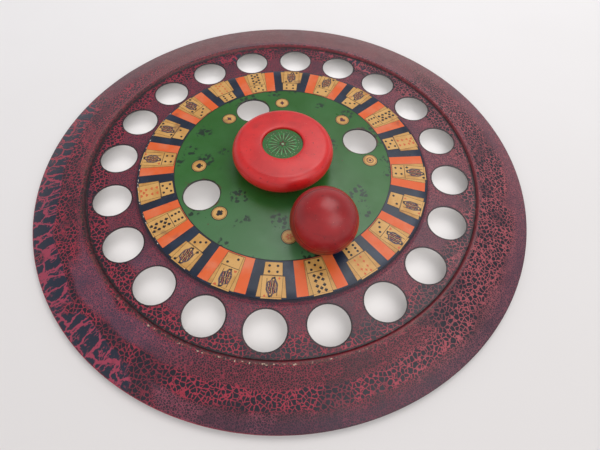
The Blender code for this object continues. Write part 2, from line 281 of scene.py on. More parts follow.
def crackle_paint():
    """Navy top coat that has shrunk into islands over a crimson under coat, then been varnished."""
    g = Graph("crackle_enamel")
    radius = g.radius()
    rough_place = g.vector("ADD", g.place, g.push(520, 0.0020))
    bent = g.vector("ADD", g.vector("ADD", g.unrolled(210, 0.55), g.push(520, 0.0022)), g.push(110, 0.0060))
    drift = g.minus(g.noise(24, 3), 0.5)

    def belt(middle, half, soft):
        """1 inside a belt round the wheel. Its radii are in millimetres."""
        return g.band(radius, middle * MM, half * MM, soft * MM)

    # Size of the islands: 0 for the finest, 1 for the largest
    left_edge = g.times(g.side(202, 0.12, 0.185), g.step(radius, 196 * MM, 213 * MM))
    near = g.times(g.side(275, 0.08, 0.19), belt(207, 4, 8))
    right = g.times(g.side(0, 0.08, 0.17), belt(198, 10, 14))
    far = g.plus(g.plus(0.42, g.times(g.side(205, 0.08, 0.15), 0.14)),
                 g.times(g.side(80, 0.05, 0.13), 0.30))
    ring_zone = g.times(belt(173, 6, 12), far)
    inner_left = g.times(g.side(175, 0.12, 0.18), belt(197, 7, 8))
    middling = g.times(g.most(near, right), 0.60)
    middling = g.most(middling, g.times(inner_left, 0.42))
    size = g.most(left_edge, middling)
    size = g.plus(g.most(size, ring_zone), g.times(drift, 1.2))

    fine = g.inverse(g.step(g.cells(560, rough_place), 0.02, 0.15))
    medium = g.inverse(g.step(g.cells(285, rough_place), 0.035, 0.115))
    large = g.inverse(g.step(g.cells(94, bent), 0.040, 0.072))
    twigs = g.inverse(g.step(g.cells(260, bent), 0.02, 0.09))
    large = g.most(large, g.times(twigs, g.cloud(90, 2, 0.52, 0.60)))
    use_medium = g.step(size, 0.30, 0.42)
    use_large = g.step(size, 0.72, 0.82)
    crack = g.blend(use_large, g.blend(use_medium, fine, medium), large)
    smooth = g.step(g.noise(30, 2, where=g.vector("ADD", g.place, (0.7, 0.2, 0.0))), 0.50, 0.62)
    smooth = g.times(smooth, g.inverse(use_large))
    crack = g.times(crack, g.inverse(g.times(smooth, 0.5)))

    # Colours: navy in large islands, plum in fine ones; the under coat goes from crimson to dusty rose
    dusty = g.step(g.plus(g.towards(12), g.times(drift, 0.12)), 0.0, 0.15)
    violet = g.step(g.plus(g.towards(234), g.times(drift, 0.14)), 0.11, 0.18)
    plum = g.mix(dusty, (66, 34, 50), (84, 46, 62))
    plum = g.mix(violet, plum, (76, 54, 74))
    plum = g.mix(g.side(288, 0.13, 0.20), plum, (46, 18, 26))
    russet = g.times(g.side(168, 0.12, 0.17), belt(190, 6, 8))
    plum = g.over(plum, russet, 0.8, (84, 38, 38))
    deep = g.times(g.side(286, 0.13, 0.18), belt(190, 7, 8))
    plum = g.over(plum, deep, 0.85, (40, 14, 22))
    island = g.mix(g.step(size, 0.12, 0.48), plum, (11, 12, 28))
    island = g.mix(use_large, island, (20, 34, 54))
    island = g.over(island, g.noise(70, 4), 0.4, (38, 20, 36))
    under = g.mix(dusty, (170, 44, 64), (172, 84, 90))
    under = g.over(under, g.noise(160, 3), 0.4, (128, 36, 58))
    muted = g.mix(dusty, (112, 38, 56), (140, 72, 82))
    muted = g.mix(violet, muted, (134, 78, 96))
    muted = g.over(muted, russet, 0.7, (158, 66, 70))
    muted = g.over(muted, deep, 0.85, (112, 30, 46))
    under = g.over(under, g.step(size, 0.40, 0.10), 0.6, muted)
    under = g.mix(g.times(use_large, violet), under, (158, 54, 78))
    colour = g.mix(crack, island, under)
    # Painted sheen: brownish grey laid over the far side of the outer flange
    far_rim_sheen = g.times(g.side(92, 0.10, 0.19), g.step(radius, 186 * MM, 192 * MM))
    colour = g.over(colour, far_rim_sheen, 0.5, (124, 78, 72))
    colour = g.over(colour, g.cloud(1100, 2, 0.64, 0.72), 0.22, (150, 112, 100))

    # The ridge: rubbed olive on its crest, painted shade in dark red down its inner wall (darker on the
    # left), and a patchy painted shade line at its foot
    crest = g.band(radius, RIDGE_RADIUS + 0.3 * MM, 0.5 * MM, 1.1 * MM)
    rub_here = g.side(225, -0.16, 0.10)
    rubbed = g.times(g.times(crest, rub_here), g.cloud(150, 4, 0.36, 0.62))
    colour = g.over(colour, rubbed, 0.4, (98, 68, 50))
    chip = g.times(g.band(radius, RIDGE_RADIUS + 0.6 * MM, 0.5 * MM, 0.5 * MM), g.cloud(420, 3, 0.60, 0.66))
    colour = g.mix(g.times(chip, g.side(262, 0.13, 0.175)), colour, (196, 170, 148))
    # Painted shade: dark red down the inner wall of the ridge, darkest on the left side
    wall = g.band(radius, RIDGE_RADIUS - 2.0 * MM, 1.1 * MM, 0.7 * MM)
    wall_red = g.mix(g.side(200, -0.02, 0.12), (112, 18, 28), (52, 16, 20))
    colour = g.over(colour, wall, 0.75, wall_red)
    # Painted shade: a dark, patchy line at the inner foot of the ridge
    ridge_foot_shade = g.times(g.band(radius, RIDGE_RADIUS - 3.6 * MM, 0.7 * MM, 0.6 * MM), g.cloud(240, 2, 0.28, 0.5))
    colour = g.over(colour, ridge_foot_shade, 0.9, (12, 9, 14))

    # Worn dark rims of the ball holes, the dark line round the print, and the wheel's thin edge
    off = g.off_hole(OUTER_HOLES, OUTER_HOLE_CIRCLE, OUTER_HOLE_RADIUS)
    rim = g.step(g.plus(off, g.times(g.noise(260, 2), 0.0010)), 2.1 * MM, 1.3 * MM)
    colour = g.over(colour, rim, 0.9, (24, 12, 18))
    line = g.step(g.plus(radius, g.times(g.noise(150, 2), 0.0012)), 136.6 * MM, 135.4 * MM)
    colour = g.over(colour, line, 0.9, (16, 20, 34))
    edge = g.step(radius, WHEEL_RADIUS - 1.0 * MM, WHEEL_RADIUS - 0.3 * MM)
    cool = g.times(g.step(radius, 214 * MM, 224 * MM), g.side(305, 0.10, 0.20))
    colour = g.over(colour, cool, 0.45, (58, 40, 62))
    edge_red = g.mix(g.side(228, 0.12, 0.2), (60, 14, 20), (160, 34, 52))
    colour = g.over(colour, edge, 0.65, edge_red)
    normal = g.bump(g.inverse(crack), 0.12 * MM, 0.6)
    normal = g.bump(g.noise(380, 3), 0.06 * MM, 0.35, normal)
    rough = g.plus(0.26, g.times(g.noise(160, 3), 0.24))
    return g.finish(colour, rough, normal, Specular_IOR_Level=0.45)


def printed_enamel():
    """Green field with dark flaked spots and a painted sheen on its near side, and the navy ground of the
    card ring outside it.
    """
    g = Graph("print_ground")
    colour = g.mix(g.cloud(26, 4, 0.35, 0.65), (34, 92, 20), (46, 102, 40))
    cluster = g.step(g.cells(40, g.warp(60, 0.012), "F1"), 0.38, 0.28)
    blob = g.step(g.cells(240, g.warp(330, 0.004), "F1"), 0.54, 0.40)
    stain = g.times(g.times(cluster, blob), g.cloud(24, 1, 0.31, 0.40))
    # Painted sheen: a pale grey-green over the near side of the green field
    near_sheen = g.times(g.side(262, 0.02, 0.09), 0.20)
    colour = g.mix(near_sheen, colour, (124, 156, 132))
    colour = g.over(colour, stain, 0.85, (14, 26, 24))
    dots = g.times(g.step(g.cells(150, g.place, "F1"), 0.13, 0.07), g.cloud(44, 1, 0.56, 0.6))
    colour = g.over(colour, dots, 0.8, (92, 50, 34))
    scuff = g.times(g.cloud(1500, 2, 0.68, 0.76), 0.25)
    colour = g.mix(scuff, colour, (140, 156, 130))
    off = g.off_hole(INNER_HOLES, INNER_HOLE_CIRCLE, INNER_HOLE_RADIUS, INNER_HOLE_START, INNER_HOLE_CENTRE)
    off = g.plus(off, g.times(g.minus(g.noise(220, 3), 0.5), 0.0024))
    worn = g.times(g.step(off, 1.2 * MM, 0.7 * MM), 0.85)
    colour = g.mix(worn, colour, (34, 18, 14))
    rust = g.times(g.step(off, 2.6 * MM, 1.4 * MM), g.cloud(90, 3, 0.52, 0.66))
    colour = g.over(colour, rust, 0.8, (78, 32, 22))
    outside = g.step(g.radius(), GREEN_RADIUS - 0.2 * MM, GREEN_RADIUS + 0.2 * MM)
    navy = g.mix(g.cloud(50, 4, 0.40, 0.70), (14, 26, 46), (30, 44, 66))
    navy = g.mix(g.times(g.cloud(700, 3, 0.64, 0.72), 0.5), navy, (88, 84, 90))
    colour = g.mix(outside, colour, navy)
    normal = g.bump(g.noise(240, 3), 0.05 * MM, 0.3)
    normal = g.bump(g.inverse(stain), 0.05 * MM, 0.5, normal)
    rough = g.plus(0.22, g.times(g.noise(120, 3), 0.2))
    return g.finish(colour, rough, normal, Specular_IOR_Level=0.5)


def printed_ink(name, clean, stained, stain_scale=90, flakes=0.5, bare=(120, 104, 84)):
    """Flat lithographed ink with age stains and small rubbed-off flakes."""
    g = Graph(name)
    stain = g.step(g.noise(stain_scale, 4), 0.42, 0.72)
    colour = g.mix(stain, clean, stained)
    grain = g.times(g.noise(2600, 2), 0.18)
    colour = g.mix(grain, colour, darker(clean, 0.8))
    aside = g.vector("ADD", g.place, (0.4, 0.9, 0.0))
    smudge = g.times(g.step(g.noise(40, 3, where=aside), 0.62, 0.72), 0.45)
    colour = g.mix(smudge, colour, (70, 44, 52))
    rubbed = g.times(g.cloud(700, 3, 0.66, 0.74), flakes)
    colour = g.mix(rubbed, colour, bare)
    normal = g.bump(g.noise(500, 3), 0.02 * MM, 0.4)
    return g.finish(colour, g.plus(0.34, g.times(g.noise(140, 2), 0.16)), normal)


BALL_AXIS = Vector((0.03, -0.53, 0.85)).normalized()
# Degrees down from the ball's turned pole
BALL_GROOVES = (61.5, 122.0)
GROOVE_DEPTH = 0.22 * MM
GROOVE_WIDTH = math.radians(1.1)


def red_lacquer(name, base, deep, middle=(0.0, 0.0, 0.0), axis=(0.0, 0.0, 1.0), grooves=()):
    """Satin lacquer over turned wood: faint lathe rings, cloudy depth, scuffs and tiny nicks. With grooves,
    it also gets painted shade on its lower part and in each groove, and a painted highlight line beside
    each groove.
    """
    g = Graph(name)
    own = g.vector("SUBTRACT", g.place, tuple(middle))
    along = g.vector("DOT_PRODUCT", own, tuple(axis))
    colour = g.mix(g.cloud(38, 4, 0.35, 0.7), base, deep)
    streak = g.noise(60, 3, where=g.stretched(g.place, (1.0, 1.0, 9.0)))
    colour = g.over(colour, g.step(streak, 0.5, 0.75), 0.35, darker(base, 0.7))
    if grooves:
        # Painted shade: the lower part of the ball is darker
        low = g.step(g.vector("DOT_PRODUCT", own, (0.0, 0.0, 1.0)), 1 * MM, -16 * MM)
        colour = g.over(colour, low, 0.85, darker(base, 0.35))
    for polar in grooves:
        level = BALL_RADIUS * math.cos(math.radians(polar))
        # Painted shade in each groove, and a painted highlight line beside it
        cut = g.band(along, level, 0.18 * MM, 0.40 * MM)
        colour = g.over(colour, cut, 0.85, darker(base, 0.3))
        groove_highlight = g.band(along, level + 0.9 * MM, 0.15 * MM, 0.4 * MM)
        colour = g.over(colour, groove_highlight, 0.22, (206, 92, 90))
    ripple = g.math("SINE", g.times(g.plus(along, g.times(g.radius(), 0.6)), 5400))
    colour = g.over(colour, g.cloud(380, 3, 0.65, 0.72), 0.6, darker(base, 0.5))
    colour = g.over(colour, g.cloud(950, 1, 0.76, 0.80), 0.6, (215, 170, 150))
    normal = g.bump(ripple, 0.005 * MM, 0.5)
    normal = g.bump(g.noise(200, 4), 0.06 * MM, 0.35, normal)
    rough = g.plus(0.25, g.times(g.noise(90, 3), 0.20))
    return g.finish(colour, rough, normal, Specular_IOR_Level=0.6)


def metal(name, bright, dull, rough=0.3):
    """Handled metal: fine directional scratches and dull patches."""
    g = Graph(name)
    patch = g.cloud(240, 4, 0.4, 0.65)
    colour = g.mix(patch, bright, dull)
    scratch = g.noise(900, 2, where=g.stretched(g.place, (1.0, 1.0, 14.0)))
    normal = g.bump(scratch, 0.01 * MM, 0.5)
    return g.finish(colour, g.plus(rough, g.times(patch, 0.22)), normal, Metallic=1.0)


def felt():
    g = Graph("green_felt")
    fibre = g.noise(2400, 4, where=g.warp(500, 0.003))
    colour = g.mix(fibre, (24, 52, 34), (52, 88, 58))
    return g.finish(colour, 0.95, g.bump(fibre, 0.3 * MM, 0.8), Sheen_Weight=0.3)


def dark_wood():
    g = Graph("dark_wood")
    grain = g.noise(60, 5, where=g.stretched(g.warp(30, 0.01), (1.0, 9.0, 9.0)))
    colour = g.mix(g.step(grain, 0.3, 0.7), (92, 56, 34), (48, 28, 18))
    pores = g.noise(500, 2, where=g.stretched(g.place, (1.0, 14.0, 14.0)))
    return g.finish(colour, 0.42, g.bump(pores, 0.04 * MM, 0.5))


def floor_cloth():
    g = Graph("pale_floor")
    # Painted light: the cloth is paler towards the far side and darker towards the near side
    colour = g.mix(g.side(100, -0.35, 0.55), (229, 224, 221), (250, 247, 246))
    colour = g.over(colour, g.noise(6, 3), 0.3, (224, 219, 216))
    return g.finish(colour, 0.85, g.bump(g.noise(900, 2), 0.05 * MM, 0.25))


# ---------------- mesh helpers


def on_circle(radius, angle):
    return radius * math.cos(angle), radius * math.sin(angle)


def add_piece(name, bm, material, body, replaced=(), sharp=None):
    """Makes a visible piece of a mesh. Edges sharper than the angle, in degrees, stay crisp."""
    if not isinstance(material, (list, tuple)):
        material = [material]
    mesh = bpy.data.meshes.new(name)
    bm.to_mesh(mesh)
    bm.free()
    for each in material:
        mesh.materials.append(each)
    mesh.shade_smooth()
    if sharp:
        mesh.set_sharp_from_angle(angle=math.radians(sharp))
    made = bpy.data.objects.new(name, mesh)
    bpy.context.scene.collection.objects.link(made)
    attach(made, body)
    if replaced:
        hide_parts(*replaced)
    return made


CORNER_STEPS = 4


def arc_corner(before, corner, after, radius):
    """Points that round one corner of an outline."""
    back = (Vector(before) - Vector(corner)).normalized()
    ahead = (Vector(after) - Vector(corner)).normalized()
    half = back.angle(ahead) / 2
    reach = radius / math.tan(half)
    centre = Vector(corner) + (back + ahead).normalized() * (radius / math.sin(half))
    start = (Vector(corner) + back * reach - centre).normalized()
    end = (Vector(corner) + ahead * reach - centre).normalized()
    return [centre + start.slerp(end, step / CORNER_STEPS) * radius for step in range(CORNER_STEPS + 1)]


def rounded(outline):
    """(radius, height, corner radius) points to a smooth (radius, height) line. The ends stay sharp."""
    points = [Vector(outline[0][:2])]
    for before, corner, after in zip(outline, outline[1:], outline[2:]):
        if corner[2]:
            points += arc_corner(before[:2], corner[:2], after[:2], corner[2])
        else:
            points.append(Vector(corner[:2]))
    points.append(Vector(outline[-1][:2]))
    return points


def ring(bm, radius, height, steps=RING_STEPS):
    places = [on_circle(radius, math.tau * step / steps) for step in range(steps)]
    return [bm.verts.new((x, y, height)) for x, y in places]


def join_rings(bm, inner, outer):
    """Quads between two rings. Seen from above, the first ring lies inside the second or above it."""
    count = len(inner)
    for step in range(count):
        after = (step + 1) % count
        bm.faces.new((inner[step], outer[step], outer[after], inner[after]))


def lathe_rows(bm, points, steps=RING_STEPS):
    rows = [ring(bm, point[0], point[1], steps) for point in points]
    for inner, outer in zip(rows, rows[1:]):
        join_rings(bm, inner, outer)
    return rows


# How far outside a ball hole, and how far below the sheet's top, each ring of its soft rim lies
SOFT_RIM = ((0.0, 0.22 * MM), (0.35 * MM, 0.07 * MM), (0.9 * MM, 0.015 * MM), (1.7 * MM, 0.0))


def holed_band(bm, inner, outer, holes, hole_radius, height, side_steps):
    """Fills a band between two rings, one round hole in each equal sector, with a soft rim at each hole."""
    count = len(holes)
    arc = len(inner) // count
    first = first_spoke(holes[0], count)
    spokes = []
    for k in range(count):
        at = (first + k * arc) % len(inner)
        spoke = [inner[at]]
        for step in range(1, side_steps):
            place = inner[at].co.lerp(outer[at].co, step / side_steps)
            place.z = height(place.xy.length)
            spoke.append(bm.verts.new(place))
        spokes.append(spoke + [outer[at]])
    for k, centre in enumerate(holes):
        at = first + k * arc
        near, far = spokes[k], spokes[(k + 1) % count]
        loop = near[:-1] + [outer[(at + s) % len(outer)] for s in range(arc)]
        loop += list(reversed(far[1:])) + [inner[(at + s) % len(inner)] for s in range(arc, 0, -1)]
        angles = [math.atan2(vert.co.y - centre.y, vert.co.x - centre.x) for vert in loop]
        rows = []
        for away, drop in SOFT_RIM:
            row = []
            for angle in angles:
                x = centre.x + (hole_radius + away) * math.cos(angle)
                y = centre.y + (hole_radius + away) * math.sin(angle)
                row.append(bm.verts.new((x, y, height(math.hypot(x, y)) - drop)))
            rows.append(row)
        middle = []
        for vert, edge in zip(rows[-1], loop):
            place = vert.co.lerp(edge.co, 0.5)
            place.z = height(place.xy.length)
            middle.append(bm.verts.new(place))
        rows += [middle, loop]
        for small, large in zip(rows, rows[1:]):
            join_rings(bm, small, large)


def thicken(piece, thickness, bevel, underside=0):
    """Gives an open top surface its sheet thickness, downwards, and softens the cut edges."""
    solid = piece.modifiers.new("sheet", "SOLIDIFY")
    solid.material_offset = underside
    solid.thickness = thickness
    solid.offset = -1.0
    edge = piece.modifiers.new("soft_edges", "BEVEL")
    edge.width = bevel
    edge.segments = 2
    edge.limit_method = "ANGLE"
    edge.angle_limit = math.radians(50)
    edge.harden_normals = False


def print_top(radius):
    """Height of the printed sheet: flat under the knob, then a very low cone down to its edge."""
    if radius <= SEAT_RADIUS:
        return PRINT_SEAT_TOP
    share = (radius - SEAT_RADIUS) / (PRINT_RADIUS - SEAT_RADIUS)
    return PRINT_SEAT_TOP + share * (PRINT_EDGE_TOP - PRINT_SEAT_TOP)


def hole_places(count, circle, start=0.0, centre=Vector((0.0, 0.0))):
    places = []
    for k in range(count):
        angle = start + math.tau * k / count
        places.append(centre + Vector(on_circle(1.0, angle)) * circle)
    return places


OUTER_PLACES = hole_places(OUTER_HOLES, OUTER_HOLE_CIRCLE)
INNER_PLACES = hole_places(INNER_HOLES, INNER_HOLE_CIRCLE, INNER_HOLE_START, INNER_HOLE_CENTRE)
OUTER_SIDE_STEPS = 10
INNER_SIDE_STEPS = 16


def first_spoke(hole, count):
    """Ring step nearest to the sector edge that comes before a hole."""
    edge = math.atan2(hole.y, hole.x) - math.pi / count
    return round(edge / math.tau * RING_STEPS) % RING_STEPS


def flat_ring(radius):
    return RING_TOP


# ---------------- pan and printed face


def under_print(radius):
    """Height of the pan's middle, which lies under the printed sheet."""
    return print_top(radius) - PAN_UNDER_PRINT


def make_pan(paint, tin):
    bm = bmesh.new()
    hub = lathe_rows(bm, [(r, under_print(r)) for r in (PAN_BORE, 25 * MM, SEAT_RADIUS, BAND_IN)])
    shoulder = rounded([
        (BAND_OUT, under_print(BAND_OUT), 0),
        (SHOULDER_TOP, under_print(SHOULDER_TOP), 1.2 * MM),
        (SHOULDER_FOOT, RING_TOP, 1.0 * MM),
        (SHOULDER_FOOT + 0.6 * MM, RING_TOP, 0),
    ])
    middle = lathe_rows(bm, shoulder)
    ridge = rounded([
        (RIDGE_RADIUS - 4.4 * MM, RING_TOP, 0),
        (RIDGE_RADIUS - 3.3 * MM, RING_TOP, 0.5 * MM),
        (RIDGE_RADIUS - 1.5 * MM, RIDGE_TOP, 0.9 * MM),
        (RIDGE_RADIUS + 0.9 * MM, RIDGE_TOP - 0.15 * MM, 0.8 * MM),
        (RIDGE_RADIUS + 2.2 * MM, RIDGE_TOP - 0.75 * MM, 0.8 * MM),
        (WHEEL_RADIUS - 24 * MM, RIDGE_TOP - 6.3 * MM, 0),
        (WHEEL_RADIUS - 0.1 * MM, EDGE_TOP, 0),
    ])
    flange = lathe_rows(bm, ridge)
    holed_band(bm, hub[-1], middle[0], INNER_PLACES, INNER_HOLE_RADIUS, under_print, INNER_SIDE_STEPS)
    holed_band(bm, middle[-1], flange[0], OUTER_PLACES, OUTER_HOLE_RADIUS, flat_ring, OUTER_SIDE_STEPS)
    pan = add_piece("painted_pan", bm, [paint, tin], "wheel", ["wheel_pan"], 42)
    thicken(pan, SHEET, 0.22 * MM, underside=1)


def make_printed_face(material):
    bm = bmesh.new()
    hub = lathe_rows(bm, [(r, print_top(r)) for r in (PRINT_BORE, SEAT_RADIUS, BAND_IN)])
    edge = lathe_rows(bm, [(r, print_top(r)) for r in (BAND_OUT, PRINT_RADIUS - 8 * MM, PRINT_RADIUS)])
    holed_band(bm, hub[-1], edge[0], INNER_PLACES, INNER_HOLE_RADIUS, print_top, INNER_SIDE_STEPS)
    face = add_piece("printed_sheet_face", bm, material, "wheel", ["printed_face"])
    thicken(face, PRINT_THICKNESS, 0.08 * MM)


# ---------------- ink shapes


class Ink:
    """Thin closed plates of one ink, laid on the printed face in one mesh."""

    def __init__(self, level):
        self.bm = bmesh.new()
        self.level = level

    def film(self, x, y):
        """Heights of the ink's top and underside at one place."""
        top = print_top(math.hypot(x, y)) + self.level * INK_STEP
        return top, top - 1.5 * INK_STEP

    def plate(self, points):
        """One flat shape from an outline of (x, y) wheel places, counter-clockwise."""
        top, low = [], []
        for x, y in points:
            high, under = self.film(x, y)
            top.append(self.bm.verts.new((x, y, high)))
            low.append(self.bm.verts.new((x, y, under)))
        self.bm.faces.new(top)
        self.bm.faces.new(list(reversed(low)))
        for step in range(len(top)):
            after = (step + 1) % len(top)
            self.bm.faces.new((top[after], top[step], low[step], low[after]))

    def polar_plate(self, start, end, inner, outer, steps=8):
        """A block of the printed ring between two angles and two radii."""
        angles = [start + (end - start) * step / steps for step in range(steps + 1)]
        points = [on_circle(outer, angle) for angle in angles]
        points += [on_circle(inner, angle) for angle in reversed(angles)]
        self.plate(points)


class Spot:
    """A place on the wheel with its own axes: u runs counter-clockwise, v runs outwards."""

    def __init__(self, angle, radius, shift=(0.0, 0.0), turn=0.0):
        self.out = Vector(on_circle(1.0, angle + turn))
        self.along = Vector((-self.out.y, self.out.x))
        self.centre = Vector(on_circle(1.0, angle)) * radius + Vector(shift)

    def at(self, u, v):
        return tuple(self.centre + (self.along * u + self.out * v) * MM)

    def draw(self, ink, outline):
        ink.plate([self.at(u, v) for u, v in outline])


def moved(outline, u=0.0, v=0.0, size=1.0, flip=False):
    """An outline scaled, turned half round if asked, and moved."""
    sign = -1.0 if flip else 1.0
    return [(u + sign * size * a, v + sign * size * b) for a, b in outline]


def polar_outline(reach, steps):
    """Clockwise in (u, v), which is counter-clockwise on the wheel."""
    points = []
    for step in range(steps):
        angle = -math.tau * step / steps
        points.append(on_circle(reach(angle), angle))
    return points


def disc(steps=16):
    return polar_outline(lambda angle: 1.0, steps)


def heart():
    points = []
    for step in range(20):
        t = math.tau * step / 20
        u = math.sin(t) ** 3
        v = (13 * math.cos(t) - 5 * math.cos(2 * t) - 2 * math.cos(3 * t) - math.cos(4 * t)) / 16
        points.append((u, v))
    return points


def diamond():
    right = [(0.0, 1.15), (0.28, 0.5), (0.8, 0.0), (0.28, -0.5)]
    return right + [(-u, -v) for u, v in right]


def stem(top):
    return [(0.12, top), (0.14, -0.5), (0.48, -1.1), (-0.48, -1.1), (-0.14, -0.5), (-0.12, top)]


def club_reach(angle):
    """Farthest point of three touching discs from their common middle."""
    best = 0.2
    for lobe in (90, 205, 335):
        away = angle - math.radians(lobe)
        depth = 0.52**2 - (0.5 * math.sin(away)) ** 2
        if depth > 0:
            best = max(best, 0.5 * math.cos(away) + math.sqrt(depth))
    return best


def suit_outlines(suit):
    """The one or two outlines of a card suit's mark, about one unit in radius."""
    if suit == "heart":
        return [heart()]
    if suit == "diamond":
        return [diamond()]
    if suit == "spade":
        blade = [(a, -b * 0.95 + 0.1) for a, b in reversed(heart())]
        return [blade, stem(-0.1)]
    return [polar_outline(club_reach, 36), stem(0.0)]


def draw_suit(ink, spot, suit, u, v, size, flip=False):
    for outline in suit_outlines(suit):
        spot.draw(ink, moved(outline, u, v, size, flip))


def box_outline(half_low, half_high, low, high):
    """A straight-sided card shape, clockwise in (u, v)."""
    return [(-half_low, low), (-half_high, high), (half_high, high), (half_low, low)]


def draw_frame(ink, spot, outline, width):
    """A thin line round a four-cornered outline."""
    middle_u = sum(u for u, _ in outline) / 4
    middle_v = sum(v for _, v in outline) / 4
    inside = []
    for u, v in outline:
        inside.append((u + math.copysign(width, middle_u - u), v + math.copysign(width, middle_v - v)))
    for step in range(4):
        after = (step + 1) % 4
        spot.draw(ink, [outline[step], outline[after], inside[after], inside[step]])


# Layout of one sector, in millimetres, along and across the sector's own axis
CARD_MIDDLE = 123.45
CARD_HALF_HEIGHT = 10.0
DOMINO_MIDDLE = 107.7
DOMINO_HALF_HEIGHT = 5.9
LINE = 0.24
MARK_SIZE = 1.5
PIP_SIZE = 1.12
ORANGE_HALF_TURN = math.radians(9.2)

PIPS = {
    2: [(-3.7, 2.4), (3.7, -2.4)],
    3: [(-3.8, 2.8), (0, 0), (3.8, -2.8)],
    4: [(-3.4, 2.6), (3.4, 2.6), (-3.4, -2.6), (3.4, -2.6)],
    5: [(-3.9, 3.3), (3.9, 3.3), (0, 0), (-3.9, -3.3), (3.9, -3.3)],
    6: [(-3.4, 3.3), (3.4, 3.3), (-3.4, 0), (3.4, 0), (-3.4, -3.3), (3.4, -3.3)],
}
DOMINO_ORDER = (4, 5, 6, 3, 2)
RED_NUMBERS = (1, 7, 11, 17)
BLACK_NUMBERS = (2, 6, 12, 16)
RED_SUITS = ("heart", "diamond")
BLACK_SUITS = ("club", "spade")


def draw_number_card(inks, spot, suit):
    """Nine suit marks on a red card, ten on a black one."""
    red = suit in RED_SUITS
    ink = inks["red"] if red else inks["black"]
    places = [(u, v) for v in (-7.0, -2.4, 2.4, 7.0) for u in (-3.0, 3.0)] + [(0.0, 4.7)]
    if not red:
        places.append((0.0, -4.7))
    for u, v in places:
        draw_suit(ink, spot, suit, u, v, MARK_SIZE, v < 0)


def draw_court_card(inks, spot, suit, chance):
    """A plain mirrored bust with a crown, a sash and a staff, and a suit mark in two corners."""
    mark = inks["black"] if suit in BLACK_SUITS else inks["red"]
    lean = chance.choice((-1, 1)) * chance.uniform(0.6, 1.1)
    wide = chance.uniform(4.3, 5.0)
    robe = [(-wide, 0.05), (wide, 0.05), (wide, 2.4), (wide * 0.84, 4.4), (lean + 2.2, 5.8)]
    robe += [(lean + 1.7, 7.6), (lean - 1.7, 7.6), (lean - 2.2, 5.8), (-wide * 0.84, 4.4), (-wide, 2.4)]
    crown = [(-1.5, 0.0), (1.5, 0.0), (1.9, 1.8), (0.8, 0.9), (0.0, 2.0), (-0.8, 0.9), (-1.9, 1.8)]
    stripes = chance.choice((8, 9, 10))
    for flip in (False, True):
        side = -1 if flip else 1
        spot.draw(inks["robe"], moved(robe, flip=flip))
        spot.draw(inks["crest"], moved(disc(14), side * lean, side * 6.3, 1.25, flip))
        spot.draw(inks["face"], moved(disc(12), side * lean, side * 6.2, 0.8, flip))
        for half in (crown[:5], crown[:1] + crown[4:]):
            spot.draw(inks["crest"], moved(half, side * lean, side * 7.2, 0.8, flip))
        for k in range(stripes):
            u = -wide * 0.92 + 1.5 * wide * k / stripes
            high = 5.6 - 2.2 * abs(2 * k / stripes - 1)
            ink = inks[("crest", "detail", "crest", "orange_line")[k % 4]]
            spot.draw(ink, moved([(u, 0.3), (u + 0.42, 0.3), (u + 1.4, high), (u + 1.0, high)], flip=flip))
        sash = [(-wide * 0.8, 0.5), (-wide * 0.5, 0.3), (wide * 0.72, 3.9), (wide * 0.55, 4.4)]
        spot.draw(inks["crest"], moved(sash, flip=flip))
        staff = -lean / abs(lean) * (wide - 0.4)
        pole = [(staff - 0.22, 2.0), (staff + 0.22, 2.0), (staff + 0.22, 7.4), (staff - 0.22, 7.4)]
        spot.draw(inks["black"], moved(pole, flip=flip))
        for _ in range(9):
            u, v = chance.uniform(-wide * 0.8, wide * 0.8), chance.uniform(0.6, 4.2)
            ink = inks[chance.choice(("detail", "crest"))]
            spot.draw(ink, moved(disc(8), side * u, side * v, 0.36, flip))
        draw_suit(mark, spot, suit, side * -5.4, side * 7.6, 1.35, flip)


def draw_sector(inks, number, chance):
    angle = math.tau * number / SECTORS + SECTOR_TURN
    orange = number % 2 == 0
    shift = (chance.uniform(-0.25, 0.25) * MM, chance.uniform(-0.25, 0.25) * MM)
    turn = chance.uniform(-0.02, 0.02)
    card = Spot(angle, CARD_MIDDLE * MM, shift, turn)
    domino = Spot(angle + turn * 0.3, DOMINO_MIDDLE * MM, shift, turn)
    top = CARD_HALF_HEIGHT
    if orange:
        inks["orange"].polar_plate(angle - ORANGE_HALF_TURN, angle + ORANGE_HALF_TURN,
                                   GREEN_RADIUS + 0.5 * MM, PRINT_RADIUS - 1.5 * MM)
        back = box_outline(7.9, 11.7, -CARD_MIDDLE + 101.4, top - 1.4)
        front = box_outline(8.0, 8.0, -top, top)
    else:
        back = box_outline(10.0, 12.2, -top + 0.5, top - 1.4)
        front = box_outline(8.4, 8.4, -top, top)
    card.draw(inks["back"], back)
    card.draw(inks["card"], front)
    tile = box_outline(7.2, 7.9, -DOMINO_HALF_HEIGHT, DOMINO_HALF_HEIGHT - 0.2)
    domino.draw(inks["card"], tile)
    draw_frame(inks["line"], card, back, LINE)
    draw_frame(inks["black"], card, front, LINE)
    draw_frame(inks["black"], domino, tile, LINE)
    for u, v in PIPS[DOMINO_ORDER[number % 5]]:
        domino.draw(inks["black"], moved(disc(14), u, v, PIP_SIZE))
    if number in RED_NUMBERS:
        draw_number_card(inks, card, RED_SUITS[RED_NUMBERS.index(number) % 2])
    elif number in BLACK_NUMBERS:
        draw_number_card(inks, card, BLACK_SUITS[BLACK_NUMBERS.index(number) % 2])
    else:
        draw_court_card(inks, card, (BLACK_SUITS + RED_SUITS)[number % 4], chance)


ROUNDEL_CIRCLE = 80.0
ROUNDEL_CENTRE = (2.0 * MM, 1.6 * MM)
ROUNDEL_SPREAD = math.radians(21.0)
ROUNDEL_DISCS = (("halo", 7.3), ("back", 6.5), ("card", 5.9))
ROUNDEL_MARKS = ("target", "heart", "diamond", "diamond", "spade", "club", "rosette", "heart")


